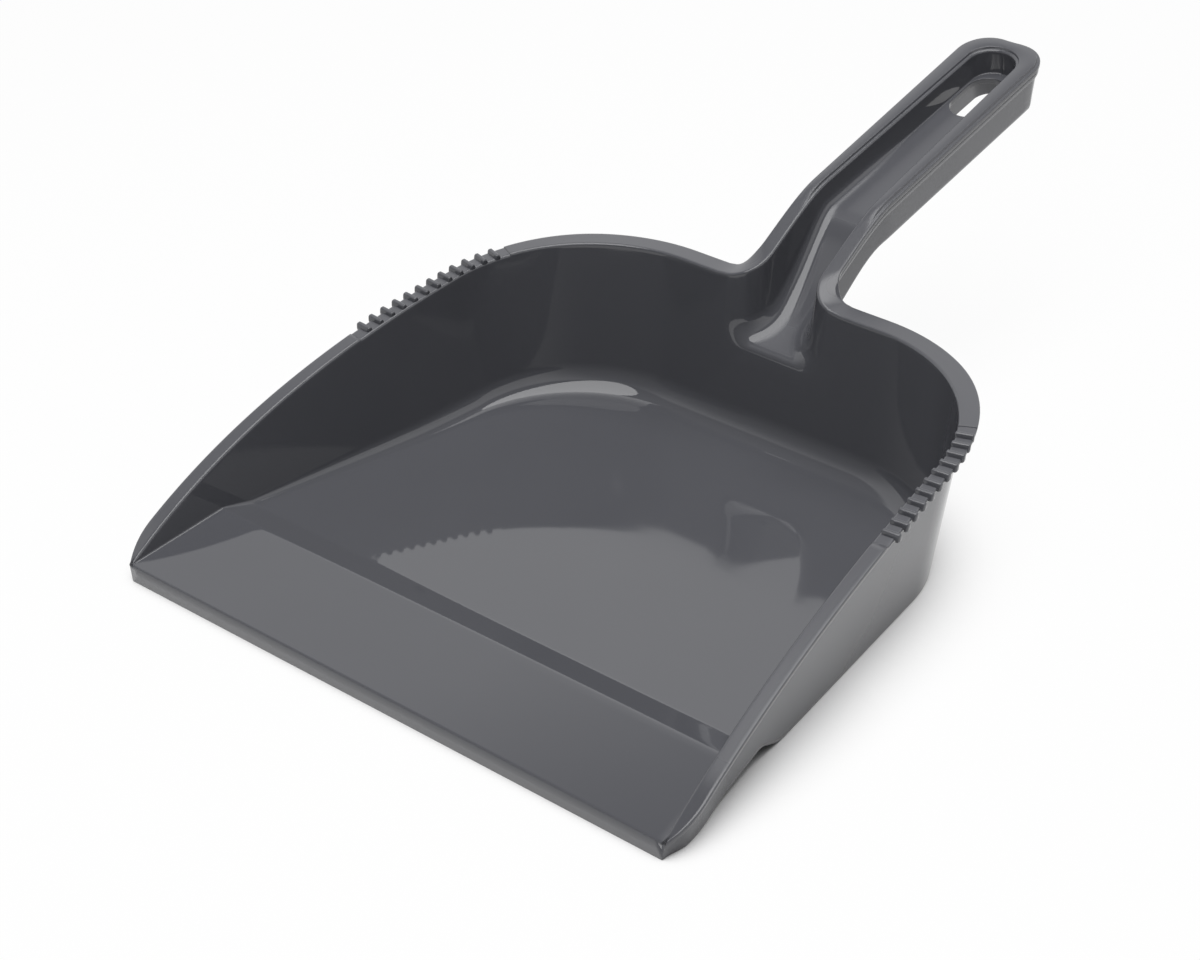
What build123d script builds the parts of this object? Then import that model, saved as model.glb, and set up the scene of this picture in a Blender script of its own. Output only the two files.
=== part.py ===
from build123d import *
import os
from math import asin, cos, degrees, pi, radians, sin, tan

# Hand-held dustpan, one plastic moulding, in millimetres.
# It is drawn with y running from the front lip (0) to the end of the handle, +Z up and the ground at z = 0.
# The moulding is drawn as its moulded sections, which meet face to face.

# Overall sizes
overall_length = 324.0     # front lip to handle end, along the ground
tray_length = 187.5        # front lip to the inside of the rear rim
front_half = 99.4          # inside half width of the tray at the lip, at ground level
side_taper = 5.9           # degrees that each side closes in towards the rear
corner_radius = 48.0       # inside rear corners at ground level
rear_height = 53.2         # top of the rim along the rear
lip_height = 5.8           # top of the rim and of the lip at the front edge

# Plastic sections
wall = 2.2                 # walls, floor, ramp and channel
draft = 7.0                # degrees that the tray walls lean outwards
rim_width = 5.0            # flat top of the rim along the sides, from its inside edge
rear_rim_width = 7.4       # and along the rear
rim_depth = 1.8            # thickness of the rim
nose_length = 12.0         # the rim narrows to the wall over this length at the front
floor_front = 6.8          # top of the tray floor at the foot of the ramp; the walls stand below it as a skirt
floor_level = 2.8          # and at the rear, where it is level
floor_fall = 0.06          # slope with which the floor leaves the ramp
floor_rear = 150.0         # the floor has levelled out here
floor_fillet = 6.0         # inside radius between floor and walls

# Entry ramp, side view
lip_depth = 2.6            # thickness of the lip, front to back
crest_y = 34.8             # where the ramp is highest
crest_z = 9.8
step_y = 45.6              # foot of the slope behind the crest
arch_front = 17.0          # the side walls clear the ground from here
arch_apex = 46.0
arch_rise = 6.0
arch_rear = 59.0           # to here

# Combs on the side rims
tooth_pitch = 4.93
tooth_width = 2.0
tooth_height = 0.9
comb_rear = 159.1          # rear end of both combs, one pitch behind the first tooth
left_teeth = 12
right_teeth = 11

# Neck between tray and handle
neck_start = 30.0          # half width where the rear rim starts to climb
neck_radius = 10.0         # inside plan radius
neck_outer_radius = 6.0    # plan radius of the outer edge of its rim
neck_end = 228.0           # the straight grip starts here
neck_height = 74.2         # top of the rim there
mouth_z = 32.6             # lip of the chute on the rear wall
mouth_half = 15.0          # half width of the chute at the rear wall

# Handle
handle_slope = 11.5        # degrees
channel_half = 9.8         # inside half width of the channel at the neck
channel_half_end = 8.2     # and at its closed end
channel_depth = 8.6        # rim to channel floor
skirt_depth = 16.6         # rim to the lower edge of the handle walls, at the neck
skirt_depth_end = 17.1     # and at the end
channel_draft = 5.0        # degrees
end_radius = 8.0           # inside corners of the closed end
grip_half = 14.9           # outside half width of the handle rim at the neck
grip_half_end = 15.4       # and at the end
grip_end_radius = 11.5     # outside corners of the handle end
end_rim = 7.0              # rim across the closed end
ledge = 0.9                # the handle rim stands out this far over the walls
band_height = 0.8          # raised band on the handle rim
band_inset = 1.0
slot_length = 24.0         # hanging slot in the channel floor
slot_width = 13.2
slot_margin = 4.5          # rear end of the slot to the inside of the closed end

# Worked out from the sizes above
lean = tan(radians(draft))
taper = tan(radians(side_taper))
rear_y = tray_length - rear_height * lean
corner_y = rear_y - corner_radius
corner_x = front_half - corner_y * taper - corner_radius / cos(radians(side_taper))
neck_half = channel_half + neck_radius
neck_y = tray_length + neck_radius
climb = tan(radians(handle_slope))
grip_plane = Plane(
    origin=(0, neck_end, neck_height),
    x_dir=(1, 0, 0),
    z_dir=(0, -sin(radians(handle_slope)), cos(radians(handle_slope))),
)
grip_length = (overall_length - neck_end - rim_depth * sin(radians(handle_slope))) / cos(radians(handle_slope))
channel_length = grip_length - end_rim
wide = 4 * front_half
tall = 3 * neck_height


def slab(y0, y1):
    """Everything between two distances from the lip."""
    return Pos(0, (y0 + y1) / 2, 0) * Box(wide, y1 - y0, 2 * tall)


def beside(side, y0, y1):
    """Everything on one side of the middle, between two distances from the lip."""
    return Pos(side * wide / 4, (y0 + y1) / 2, 0) * Box(wide / 2, y1 - y0, 2 * tall)


def middle(half):
    """Everything near the middle of the rear wall."""
    return Pos(0, tray_length, 0) * Box(2 * half, 60, 2 * tall)


def rear_corner(side):
    """Everything round one rear corner of the tray, up to the straight stretch of the rear wall."""
    half = max(corner_x, neck_start + wall)
    return Pos(side * (half + wide / 2), corner_y + wide / 2, 0) * Box(wide, wide, 2 * tall)


def foot():
    """Everything up to just over the rounded foot of the rear walls."""
    return Pos(0, 0, floor_level + floor_fillet + wall - tall) * Box(wide, 2 * overall_length, 2 * tall)


def across(*lines):
    """A side-view outline carried right across the tray."""
    return extrude(Plane.YZ * make_face(list(lines)), amount=wide / 2, both=True)


def tray_face(grow, z, rear_grow=0.0):
    """Plan outline of the inside of the tray at ground level, grown outwards and lifted to z."""
    front = -40.0
    rear = rear_y + grow + rear_grow
    out = grow / cos(radians(side_taper))
    half_front = front_half - front * taper + out
    half_rear = front_half - rear * taper + out
    corners = [(-half_front, front), (half_front, front), (half_rear, rear), (-half_rear, rear)]
    face = make_face(Polyline(*corners, close=True))
    rounded = fillet(face.vertices().group_by(Axis.Y)[-1], corner_radius + grow)
    return Pos(0, 0, z) * rounded


def leaning_block(grow, z0, z1, rear_grow=0.0):
    """Block that fills the tray, or goes further out by grow, with the draft of the walls."""
    return extrude(tray_face(grow + z0 * lean, z0, rear_grow), amount=z1 - z0, taper=-draft)


def below_rim(drop):
    """Everything under the curve of the rim, seen from the side, after lowering it by drop."""
    end = tray_length + 3 * neck_radius
    start = (0, lip_height - drop)
    top = (tray_length, rear_height - drop)
    curve = Bezier(
        start,
        (0.267 * tray_length, 0.742 * rear_height - drop),
        (0.597 * tray_length, 0.927 * rear_height - drop),
        top,
    )
    rest = Polyline(top, (end, rear_height - drop), (end, -20), (0, -20), start)
    return across(curve, rest)


def above_chute(lower, end_drop, hold):
    """Everything over the side-view curve of the chute, carried on level in front of the rear wall."""
    y0 = tray_length - (rear_height - mouth_z) * lean
    z0 = mouth_z - lower
    run = neck_end - y0
    z1 = neck_height - end_drop
    curve = Bezier(
        (y0, z0),
        (y0 + 0.47 * run, z0 + 0.15 * (z1 - z0)),
        (neck_end - hold * run, z1 - hold * run * climb),
        (neck_end, z1),
    )
    front = tray_length - 40
    rest = Polyline((neck_end, z1), (neck_end, tall), (front, tall), (front, z0), (y0, z0))
    return across(curve, rest)


def above_neck_edge():
    """Everything over the lower edge of the neck, which runs down to the rear wall."""
    return above_chute(wall, skirt_depth, 0.36)


def above_handle_edge():
    """Everything over the lower edge of the handle walls."""
    start = neck_height - skirt_depth
    end = neck_height + climb * (overall_length - neck_end) - skirt_depth_end
    edge = Polyline(
        (neck_end, start),
        (overall_length, end),
        (overall_length, tall),
        (neck_end, tall),
        close=True,
    )
    return across(edge)


def above_floor(drop):
    """Everything behind the ramp over the hollow curve of the floor, after lowering it by drop."""
    reach = (floor_rear - step_y) / 3
    start = (step_y, floor_front - drop)
    level = (floor_rear, floor_level - drop)
    curve = Bezier(
        start,
        (step_y + reach, floor_front - floor_fall * reach - drop),
        (floor_rear - reach, floor_level - drop),
        level,
    )
    rest = Polyline(level, (overall_length, floor_level - drop), (overall_length, tall), (step_y, tall), start)
    return across(curve, rest)


def tray_hollow():
    """Space inside the tray: square at the ramp, with a rounded foot behind it."""
    whole = leaning_block(0, 0, rear_height + 30)
    rear = whole & above_floor(0)
    foot = rear.edges().filter_by(lambda e: step_y < e.center().Y and e.center().Z < floor_front)
    front = whole & slab(-30, step_y)
    return fillet(foot, floor_fillet) + front


def front_lip():
    """Front edge of the tray, which lies on the ground."""
    rise = (crest_z - lip_height) / crest_y
    nose = 0.25 * lip_depth
    edge = Polyline(
        (0, 0),
        (0, lip_height - nose),
        (nose, lip_height + rise * nose),
        (lip_depth, lip_height + rise * lip_depth),
        (lip_depth, 0),
        close=True,
    )
    return across(edge) & leaning_block(0, 0, rear_height)


def entry_ramp():
    """Ramp that rises from the lip to the crest and falls to the floor."""
    rise = (crest_z - lip_height) / crest_y
    start = lip_height + rise * lip_depth
    sheet = Polyline(
        (lip_depth, start),
        (crest_y, crest_z),
        (step_y, floor_front),
        (step_y, floor_front - wall),
        (step_y - wall / 2, floor_front - wall),
        (crest_y, crest_z - wall),
        (lip_depth, start - wall),
        close=True,
    )
    return across(sheet) & leaning_block(0, 0, rear_height)


def tray_floor():
    """Middle of the floor, which falls away behind the ramp; the rounded foot belongs to the walls."""
    panel = extrude(tray_face(floor_level * lean - floor_fillet, 0), amount=floor_front)
    return (panel & above_floor(wall)) - above_floor(0)


def wall_ring():
    """Side and rear walls with their skirt, open at the front and at the neck."""
    ring = leaning_block(wall, 0, rear_height + 5) & below_rim(rim_depth)
    inside = leaning_block(0, 0, rear_height)
    ring = ring - tray_hollow() - tray_floor()
    ring = ring - ((inside & slab(step_y, overall_length)) - above_floor(wall))
    arch = Polyline(
        (arch_front, -5),
        (arch_front, 0),
        (arch_apex, arch_rise),
        (arch_rear, 0),
        (arch_rear, -5),
        close=True,
    )
    return ring - (across(arch) - inside) - (middle(neck_start) & above_neck_edge())


def rim_noses():
    """What is rounded off the front ends of the rim, outside the lip."""
    inset = rim_width - wall
    radius = (nose_length**2 + inset**2) / (2 * inset)
    edge = front_half + lip_height * lean + rim_width
    square = Pos(edge, 0, 0) * Box(4 * inset, 2 * nose_length, 2 * tall)
    nose = square - Pos(edge - radius, nose_length, 0) * Cylinder(radius, 2 * tall)
    return nose + mirror(nose, about=Plane.YZ)


def rim_ring(low, high):
    """Band that follows the rim of the tray, between two heights over its top."""
    ring = leaning_block(rim_width, 0, rear_height + 10, rear_rim_width - rim_width) & below_rim(-high)
    ring = ring - below_rim(-low) - leaning_block(0, 0, rear_height + 30)
    return ring - rim_noses() - middle(neck_start)


def comb(side, count):
    """Teeth that stand across the rim, square to its run, counted from the rear."""
    band = rim_ring(0, tooth_height)
    bend = radians(side_taper)
    radius = corner_radius + rear_height * lean + rim_width / 2
    last = asin((comb_rear - corner_y) / radius)
    teeth = []
    for i in range(count):
        along = (i + 1) * tooth_pitch
        turn = max(last - along / radius, bend)
        straight = along - (last - turn) * radius
        x = corner_x + radius * cos(turn) + straight * sin(turn)
        y = corner_y + radius * sin(turn) - straight * cos(turn)
        cutter = Pos(side * x, y, 0) * Rot(0, 0, side * degrees(turn)) * Box(8 * rim_width, tooth_width, 2 * tall)
        teeth.extend((band & cutter).solids())
    return Compound(children=teeth)


def neck_rim(along):
    """Height of the rim at a distance along the neck, and the share of the neck behind it."""
    length = neck_start - neck_half + neck_radius * pi / 2 + neck_end - neck_y
    t = along / length
    rise = (neck_height - rear_height) * (3 * t**2 - 2 * t**3)
    return rear_height + rise + length * climb * (t**3 - t**2), t


def neck_plan():
    """Inner and outer edge of the neck's rim in plan, pair by pair, with the distance along the inner edge."""
    rim_half = grip_half + 0.3
    outer_x = rim_half + neck_outer_radius
    outer_y = tray_length + rear_rim_width + neck_outer_radius
    straight = neck_start - neck_half
    pairs = []
    for part in (0.0, 0.5):
        inner = (neck_start - straight * part, tray_length)
        outer = (neck_start - (neck_start - outer_x) * part, tray_length + rear_rim_width)
        pairs.append((inner, outer, straight * part))
    for i in range(10):
        turn = pi / 2 * i / 9
        inner = (neck_half - neck_radius * sin(turn), neck_y - neck_radius * cos(turn))
        outer = (outer_x - neck_outer_radius * sin(turn), outer_y - neck_outer_radius * cos(turn))
        pairs.append((inner, outer, straight + neck_radius * turn))
    for i in range(1, 8):
        part = i / 7
        inner_y = neck_y + (neck_end - neck_y) * part
        inner = (channel_half, inner_y)
        outer = (rim_half + (grip_half - rim_half) * part, outer_y + (neck_end - outer_y) * part)
        pairs.append((inner, outer, straight + neck_radius * pi / 2 + inner_y - neck_y))
    return pairs


def neck_side():
    """Right side of the neck with its rim, from the rear wall round to the straight grip."""
    mouth_y = tray_length - (rear_height - mouth_z) * lean
    low = mouth_z - wall - 8
    turned = neck_rim(neck_start - neck_half)[1]
    sections = []
    for inner, outer, along in neck_plan():
        width = ((outer[0] - inner[0]) ** 2 + (outer[1] - inner[1]) ** 2) ** 0.5
        way = ((outer[0] - inner[0]) / width, (outer[1] - inner[1]) / width)
        top, t = neck_rim(along)
        ahead = max(outer[1] - inner[1], 0) * t * (1 - t) * 2
        edge = neck_rim(along + ahead)[0]
        bottom = low + (neck_height - skirt_depth - 8 - low) * (inner[1] - mouth_y) / (neck_end - mouth_y)
        share = max(t - turned, 0) / (1 - turned)
        slant = lean + (tan(radians(channel_draft)) - lean) * share
        thick = wall + (grip_half - channel_half - ledge - wall) * share
        flange = top + (edge - top) * thick / width - rim_depth
        outline = [
            (0, top),
            (width, edge),
            (width - rim_depth * slant, edge - rim_depth),
            (thick - rim_depth * slant, flange),
            (thick - (flange - bottom) * slant, bottom),
            (-(top - bottom) * slant, bottom),
        ]
        points = [(inner[0] + u * way[0], inner[1] + u * way[1], z) for u, z in outline]
        sections.append(make_face(Polyline(*points, close=True)))
    return loft(sections, ruled=True) & above_neck_edge()


def chute_floor(right, left):
    """Sloping floor that leads from the handle channel into the tray."""
    sheet = above_chute(wall, channel_depth + wall, 0.2) - above_chute(0, channel_depth, 0.2)
    radius = neck_radius + (rear_height - mouth_z) * lean - wall / 2
    start = asin((neck_half - mouth_half) / radius)
    half_end = channel_half - channel_depth * tan(radians(channel_draft)) + wall / 2
    first = (mouth_half, neck_y - radius * cos(start))
    bend = (start + pi / 2) / 2
    centre = (neck_half - radius * sin(bend), neck_y - radius * cos(bend))
    side = (neck_half - radius, neck_y)
    outline = [
        Line((0, tray_length - 20), (mouth_half, tray_length - 20)),
        Line((mouth_half, tray_length - 20), first),
        ThreePointArc(first, centre, side),
        Line(side, (half_end, neck_end)),
        Line((half_end, neck_end), (0, neck_end)),
        Line((0, neck_end), (0, tray_length - 20)),
    ]
    half = make_face(outline)
    plan = extrude(half + mirror(half, about=Plane.YZ), amount=tall)
    return (sheet & plan) - leaning_block(0, 0, rear_height + 30) - right - left


def grip_face(half, half_end, length, radius):
    """Outline on the top of the handle, carried a little way back into the neck."""
    back = -20.0
    half_back = half + (half_end - half) * back / length
    corners = [(-half_back, back), (half_back, back), (half_end, length), (-half_end, length)]
    face = make_face(Polyline(*corners, close=True))
    return fillet(face.vertices().group_by(Axis.Y)[-1], radius)


def grip_block(face, top, deep, slant=0.0):
    """Block under a handle outline, from its height over the rim down to a depth."""
    down = grip_plane * Pos(0, 0, top) * face
    block = extrude(down, amount=top + deep, dir=-grip_plane.z_dir, taper=slant)
    return block & slab(neck_end, 2 * overall_length)


def channel_face(grow):
    """Outline of the channel in the handle, grown outwards."""
    return grip_face(channel_half + grow, channel_half_end + grow, channel_length + grow, end_radius + grow)


def grip_inset(inset):
    """Outline of the handle rim, drawn in by an inset."""
    return grip_face(grip_half - inset, grip_half_end - inset, grip_length - inset, grip_end_radius - inset)


def grip_outside(deep):
    """Block inside the outer faces of the handle: its sides lean in, its end stays upright."""
    length = grip_length - ledge
    half = grip_half - ledge
    half_end = grip_half_end - ledge
    radius = grip_end_radius - ledge
    shift = deep * tan(radians(channel_draft))
    short = length - deep * climb
    half_short = half + (half_end - half) * short / length
    top = grip_plane * grip_face(half, half_end, length, radius)
    low = grip_plane * Pos(0, 0, -deep) * grip_face(half - shift, half_short - shift, short, radius - shift)
    return loft([top, low], ruled=True) & slab(neck_end, 2 * overall_length)


def handle_sections():
    """Walls, floor, rim and raised band of the handle."""
    deep = max(skirt_depth, skirt_depth_end) + wall
    rim_face = grip_inset(0)
    inner = grip_block(channel_face(0), 0, deep, channel_draft)
    rim = grip_block(rim_face, 0, rim_depth)
    walls = (grip_outside(deep) & above_handle_edge()) - inner - rim
    bend = Box(wide, wide, wide)
    behind = grip_plane * Pos(0, channel_length - end_radius + wide / 2, 0) * bend
    straight = walls - behind
    level = grip_block(rim_face, 0, channel_depth + wall) - grip_block(rim_face, 0, channel_depth)
    slot_y = channel_length - slot_margin - slot_length / 2
    slot = extrude(
        grip_plane * Pos(0, slot_y) * Rot(0, 0, 90) * SlotOverall(slot_length, slot_width),
        amount=-tall,
    )
    band = extrude(grip_plane * (grip_inset(band_inset) - channel_face(band_inset)), amount=band_height)
    return {
        "handle_left_wall": straight & beside(-1, 0, 2 * overall_length),
        "handle_right_wall": straight & beside(1, 0, 2 * overall_length),
        "handle_end_wall": walls & behind,
        "handle_floor": (level & inner) - slot,
        "handle_rim": rim - inner,
        "handle_band": band & slab(neck_end, 2 * overall_length),
    }


def sections():
    """Every moulded section by name."""
    ring = wall_ring()
    rim = rim_ring(-rim_depth, 0)
    right_neck = neck_side()
    left_neck = mirror(right_neck, about=Plane.YZ)
    named = {
        "front_lip": front_lip(),
        "entry_ramp": entry_ramp(),
        "tray_floor": tray_floor(),
        "left_wall": ring & beside(-1, -1, corner_y),
        "right_wall": ring & beside(1, -1, corner_y),
        "left_corner_wall": (ring & rear_corner(-1)) - foot(),
        "right_corner_wall": (ring & rear_corner(1)) - foot(),
        "left_corner_foot": ring & rear_corner(-1) & foot(),
        "right_corner_foot": ring & rear_corner(1) & foot(),
        "rear_wall": (ring & slab(corner_y, overall_length)) - rear_corner(-1) - rear_corner(1),
        "left_rim": rim & beside(-1, -1, corner_y),
        "right_rim": rim & beside(1, -1, corner_y),
        "rear_left_rim": rim & beside(-1, corner_y, overall_length),
        "rear_right_rim": rim & beside(1, corner_y, overall_length),
        "left_comb": comb(-1, left_teeth),
        "right_comb": comb(1, right_teeth),
        "left_neck": left_neck,
        "right_neck": right_neck,
        "chute_floor": chute_floor(right_neck, left_neck),
    }
    named.update(handle_sections())
    return named


os.makedirs("parts", exist_ok=True)
for name, section in sections().items():
    placed = Pos(0, -overall_length / 2, 0) * section
    print(name, len(placed.solids()), "solid, volume", round(placed.volume))
    export_step(placed, f"parts/{name}.step")
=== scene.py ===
# %% [markdown]
# A hand dustpan, moulded in one shot from glossy charcoal plastic.
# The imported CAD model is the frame: it gives the place and the size of every section.
# The real thing has no seams, so here one smooth skin replaces all the sections, and the combs
# on its two side rims are made apart because they repeat.

# %% Load the frame
from math import asin, atan2, cos, pi, radians, sin, tan

import bmesh
import bpy
import numpy as np
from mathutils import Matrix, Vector


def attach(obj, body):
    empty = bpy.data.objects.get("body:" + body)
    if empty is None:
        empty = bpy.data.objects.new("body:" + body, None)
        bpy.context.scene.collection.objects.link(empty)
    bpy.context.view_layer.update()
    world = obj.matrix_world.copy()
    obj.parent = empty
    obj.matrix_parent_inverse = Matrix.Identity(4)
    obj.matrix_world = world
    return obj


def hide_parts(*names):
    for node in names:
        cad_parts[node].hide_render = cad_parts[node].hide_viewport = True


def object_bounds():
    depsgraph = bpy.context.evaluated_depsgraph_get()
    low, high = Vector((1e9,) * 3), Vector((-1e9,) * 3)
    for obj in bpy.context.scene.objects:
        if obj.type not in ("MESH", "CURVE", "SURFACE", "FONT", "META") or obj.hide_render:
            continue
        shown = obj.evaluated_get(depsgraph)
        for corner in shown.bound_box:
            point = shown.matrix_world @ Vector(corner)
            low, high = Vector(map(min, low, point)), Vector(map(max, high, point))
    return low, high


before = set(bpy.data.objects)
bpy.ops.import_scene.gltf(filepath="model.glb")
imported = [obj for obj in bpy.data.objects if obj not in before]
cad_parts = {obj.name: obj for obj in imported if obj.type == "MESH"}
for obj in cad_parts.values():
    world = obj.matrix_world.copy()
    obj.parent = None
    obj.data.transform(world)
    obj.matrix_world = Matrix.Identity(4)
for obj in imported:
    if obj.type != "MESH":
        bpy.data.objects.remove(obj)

cad_low, cad_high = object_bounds()
print("CAD box in mm", [round(1000 * v, 1) for v in (*cad_low, *cad_high)])

# %% [markdown]
# Everything below is drawn in millimetres, with y running from the front lip to the end of the
# handle, as a moulder would measure it. The frame's origin is the middle of the footprint, so the
# finished mesh slides back by half the length and shrinks to metres.

# %% Units and the place of the lip
MM = 0.001
overall_length = (cad_high.y - cad_low.y) / MM
lip_y = cad_low.y / MM


def to_frame(points):
    """Points in millimetres from the lip, as metres in the frame."""
    return (np.asarray(points, float) + (0.0, lip_y, 0.0)) * MM


print("overall length", round(overall_length, 2), "lip at y", round(lip_y, 2))

# %% [markdown]
# The tray is a shallow bowl that is open at the front. Its walls lean outwards so that the
# moulding leaves its mould, and they end in a flat rim that climbs from the lip to the rear.

# %% Sizes of the tray
tray_length = 187.5
front_half = 99.4
side_taper = radians(5.9)
corner_radius = 48.0
rear_height = 53.2
lip_height = 5.8
lip_depth = 2.6
lean = tan(radians(7.0))
taper = tan(side_taper)
wall = 2.0
sheet = 2.2
crest_y, crest_z = 34.8, 9.8
step_y = 45.6
floor_front, floor_rear = 6.8, 150.0
rim_width, rear_rim_width = 5.0, 7.4
rim_depth = 1.8

rear_y = tray_length - rear_height * lean
corner_y = rear_y - corner_radius
corner_x = front_half - corner_y * taper - corner_radius / cos(side_taper)
print("rear corner centre", round(corner_x, 1), round(corner_y, 1))

# %% [markdown]
# A moulded edge is never sharp. Each cross-section is drawn as a bent line whose corners are
# rounded off, always with the same number of points, so that neighbouring sections can be
# joined by quads. A few more points beside each rounding keep the flats flat when they are shaded smooth.


# %% Rounded cross-sections
def rounded(corners):
    """Points along a bent line. A corner is (across, up, setback, steps, rows after it)."""
    spots = [np.array(c[:2], float) for c in corners]
    runs = [b - a for a, b in zip(spots, spots[1:])]
    lengths = [np.hypot(*r) for r in runs]
    ways = [r / max(n, 1e-9) for r, n in zip(runs, lengths)]
    wanted = [c[2] for c in corners]
    fits = [min(1.0, 0.95 * n / max(a + b, 1e-9)) for n, a, b in zip(lengths, wanted, wanted[1:])]
    setbacks = [w * min(f) for w, f in zip(wanted, zip([1.0, *fits], [*fits, 1.0]))]
    points = []
    for i, corner in enumerate(corners):
        steps, rows = corner[3:]
        if steps:
            points += arc(spots[i], ways[i - 1], ways[i], setbacks[i], steps)
        else:
            points.append(spots[i])
        if rows:
            start = spots[i] + setbacks[i] * ways[i]
            end = spots[i + 1] - setbacks[i + 1] * ways[i]
            points += [start + (end - start) * f for f in row_stops(np.hypot(*(end - start)), rows)]
    return np.array(points)


def arc(corner, way_in, way_out, setback, steps):
    """Circular rounding of one corner."""
    start, end = corner - setback * way_in, corner + setback * way_out
    turn = np.clip(way_in @ way_out, -1, 1)
    weight = ((1 + turn) / 2) ** 0.5
    points = []
    for t in np.linspace(0, 1, steps + 1):
        a, b, c = (1 - t) ** 2, 2 * t * (1 - t) * weight, t * t
        points.append((a * start + b * corner + c * end) / (a + b + c))
    return points


def row_stops(length, rows):
    """Where the rows of a straight run lie: one close to each end and the rest spread evenly."""
    if rows == 1:
        return [0.5]
    margin = min(0.8 / max(length, 1e-9), 0.25)
    return np.linspace(margin, 1 - margin, rows)


def bezier(a, b, c, d, count=400):
    """A cubic curve in side view, as a table of points."""
    t = np.linspace(0, 1, count)[:, None]
    a, b, c, d = (np.array(p, float) for p in (a, b, c, d))
    return (1 - t) ** 3 * a + 3 * t * (1 - t) ** 2 * b + 3 * t * t * (1 - t) * c + t**3 * d


def smooth(value, low=0.0, high=1.0):
    """Goes from 0 to 1 between two values, with soft ends."""
    t = min(max((value - low) / (high - low), 0.0), 1.0)
    return t * t * (3 - 2 * t)


square = rounded([(0, 0, 0, 0, 0), (5, 0, 1, 4, 0), (5, 5, 0, 0, 0)])
print("a rounded square corner has", len(square), "points")

# %% [markdown]
# Seen from the side, the rim rises in one long curve. The ramp behind the lip climbs to a crest
# and drops to the floor, which falls away in a hollow curve until it is level at the rear. The floor is
# as good as a mirror, and the way it bends shows in the walls that it mirrors, so its fall is given
# as slopes and summed up to heights. The side walls stand clear of the ground in a low arch under
# the foot of the ramp. Each of these is a height that depends only on the distance from the lip.

# %% Heights along the tray
lip_rounding = 0.5
inner_rounding, edge_rounding = 0.8, 0.45
arch = rounded([
    (12.0, 0.0, 0, 0, 0),
    (17.5, 0.0, 4.0, 6, 0),
    (47.3, 6.3, 2.2, 8, 0),
    (59.0, 0.0, 3.5, 8, 0),
    (64.0, 0.0, 0, 0, 0),
])
rim_line = bezier(
    (0, lip_height),
    (0.267 * tray_length, 0.742 * rear_height),
    (0.597 * tray_length, 0.927 * rear_height),
    (tray_length, rear_height),
)
floor_y = np.linspace(step_y, floor_rear, 400)
floor_fall = np.interp(
    floor_y,
    (step_y, 60, 85, 95, 101, 107.5, 113, 116, 120.5, 124, 128, 132, floor_rear),
    (0.081, 0.074, 0.071, 0.067, 0.064, 0.057, 0.050, 0.038, 0.024, 0.0155, 0.008, 0.003, 0),
)
floor_z = floor_front - np.cumsum(floor_fall) * (floor_y[1] - floor_y[0])
floor_line = np.column_stack([floor_y, floor_z])
floor_level = float(floor_z[-1])
ramp_line = rounded([
    (0, lip_height, 0, 0, 0),
    (crest_y, crest_z, 0.7, 6, 0),
    (step_y, floor_front, 0.7, 6, 0),
    (*floor_line[8], 0, 0, 0),
])
ramp_line = np.vstack([ramp_line, floor_line[9:]])


def lip_drop(y):
    """How far the rounded front edge lies under the flat."""
    if y >= lip_rounding:
        return 0.0
    return lip_rounding - (lip_rounding**2 - (lip_rounding - y) ** 2) ** 0.5


def rim_height(y):
    return np.interp(y, rim_line[:, 0], rim_line[:, 1])


def floor_height(y):
    return np.interp(y, ramp_line[:, 0], ramp_line[:, 1])


def wall_foot(y):
    """Lower edge of the outer wall."""
    return np.interp(y, arch[:, 0], arch[:, 1], left=0.0, right=0.0)


def floor_fillet(y):
    """Rounding between floor and wall, which grows towards the rear."""
    return np.interp(y, (0, crest_y, step_y, 130, 170), (0.5, 0.6, 1.8, 6.5, 9.5))


def rim_reach(y):
    """Width of the rim, which starts as a thin nose beside the lip."""
    nose = max(1 - y / 13.0, 0.0) ** 2.2
    return rim_width - (rim_width - 0.9) * nose


def wall_reach(y):
    """Thickness of the side wall, with a swelling behind the nose."""
    nose = max(1 - y / 9.0, 0.0) ** 1.6
    swelling = 1.3 * smooth(y, 0, 9) * (1 - smooth(y, 12, 30))
    return wall + swelling - (wall + swelling - 0.9) * nose


print("rim at the middle of the side", round(float(rim_height(90)), 1))

# %% [markdown]
# The tray wall is one cross-section carried round three sides: straight along the side, turning
# through the rear corner, and along the rear up to the neck. Near the lip the sections lie square
# to the middle line so that they meet the ramp, and they turn square to the wall on the way back.

# %% Where the sections stand
channel_half, neck_radius = 9.8, 10.0
neck_half = channel_half + neck_radius
neck_y = tray_length + neck_radius
neck_start, mouth_side = 25.0, neck_half + 4.0
side_end = corner_y + corner_radius * sin(side_taper)
side_stops = sorted({
    0.0, 0.03, 0.1, 0.2, 0.35, 0.5, 0.8, 1.2, 1.8, lip_depth, lip_depth + 0.001, 3.4, 4.5,
    *np.arange(6, 33.5, 2.0),
    *(crest_y + d for d in (-0.7, -0.45, -0.25, 0, 0.25, 0.45, 0.7)),
    *np.arange(37.5, step_y - 1, 2.0),
    *(step_y + d for d in (-0.7, -0.45, -0.25, 0, 0.25, 0.45, 0.7)),
    *np.arange(step_y + 1.4, 66, 1.2),
    *np.linspace(68, side_end, 22),
})


def side_station(y):
    """Foot of the inner wall on the straight side, the way out from it, and the stretch along that way."""
    way = side_taper * smooth(y, step_y + 1, side_end)
    return (front_half - y * taper, y), way, 1 / cos(side_taper - way), y


def corner_station(way):
    foot = (corner_x + corner_radius * cos(way), corner_y + corner_radius * sin(way))
    return foot, way, 1.0, foot[1]


def rear_station(x):
    return (x, rear_y), pi / 2, 1.0, rear_y


print(len(side_stops), "sections along the straight side")

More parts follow.
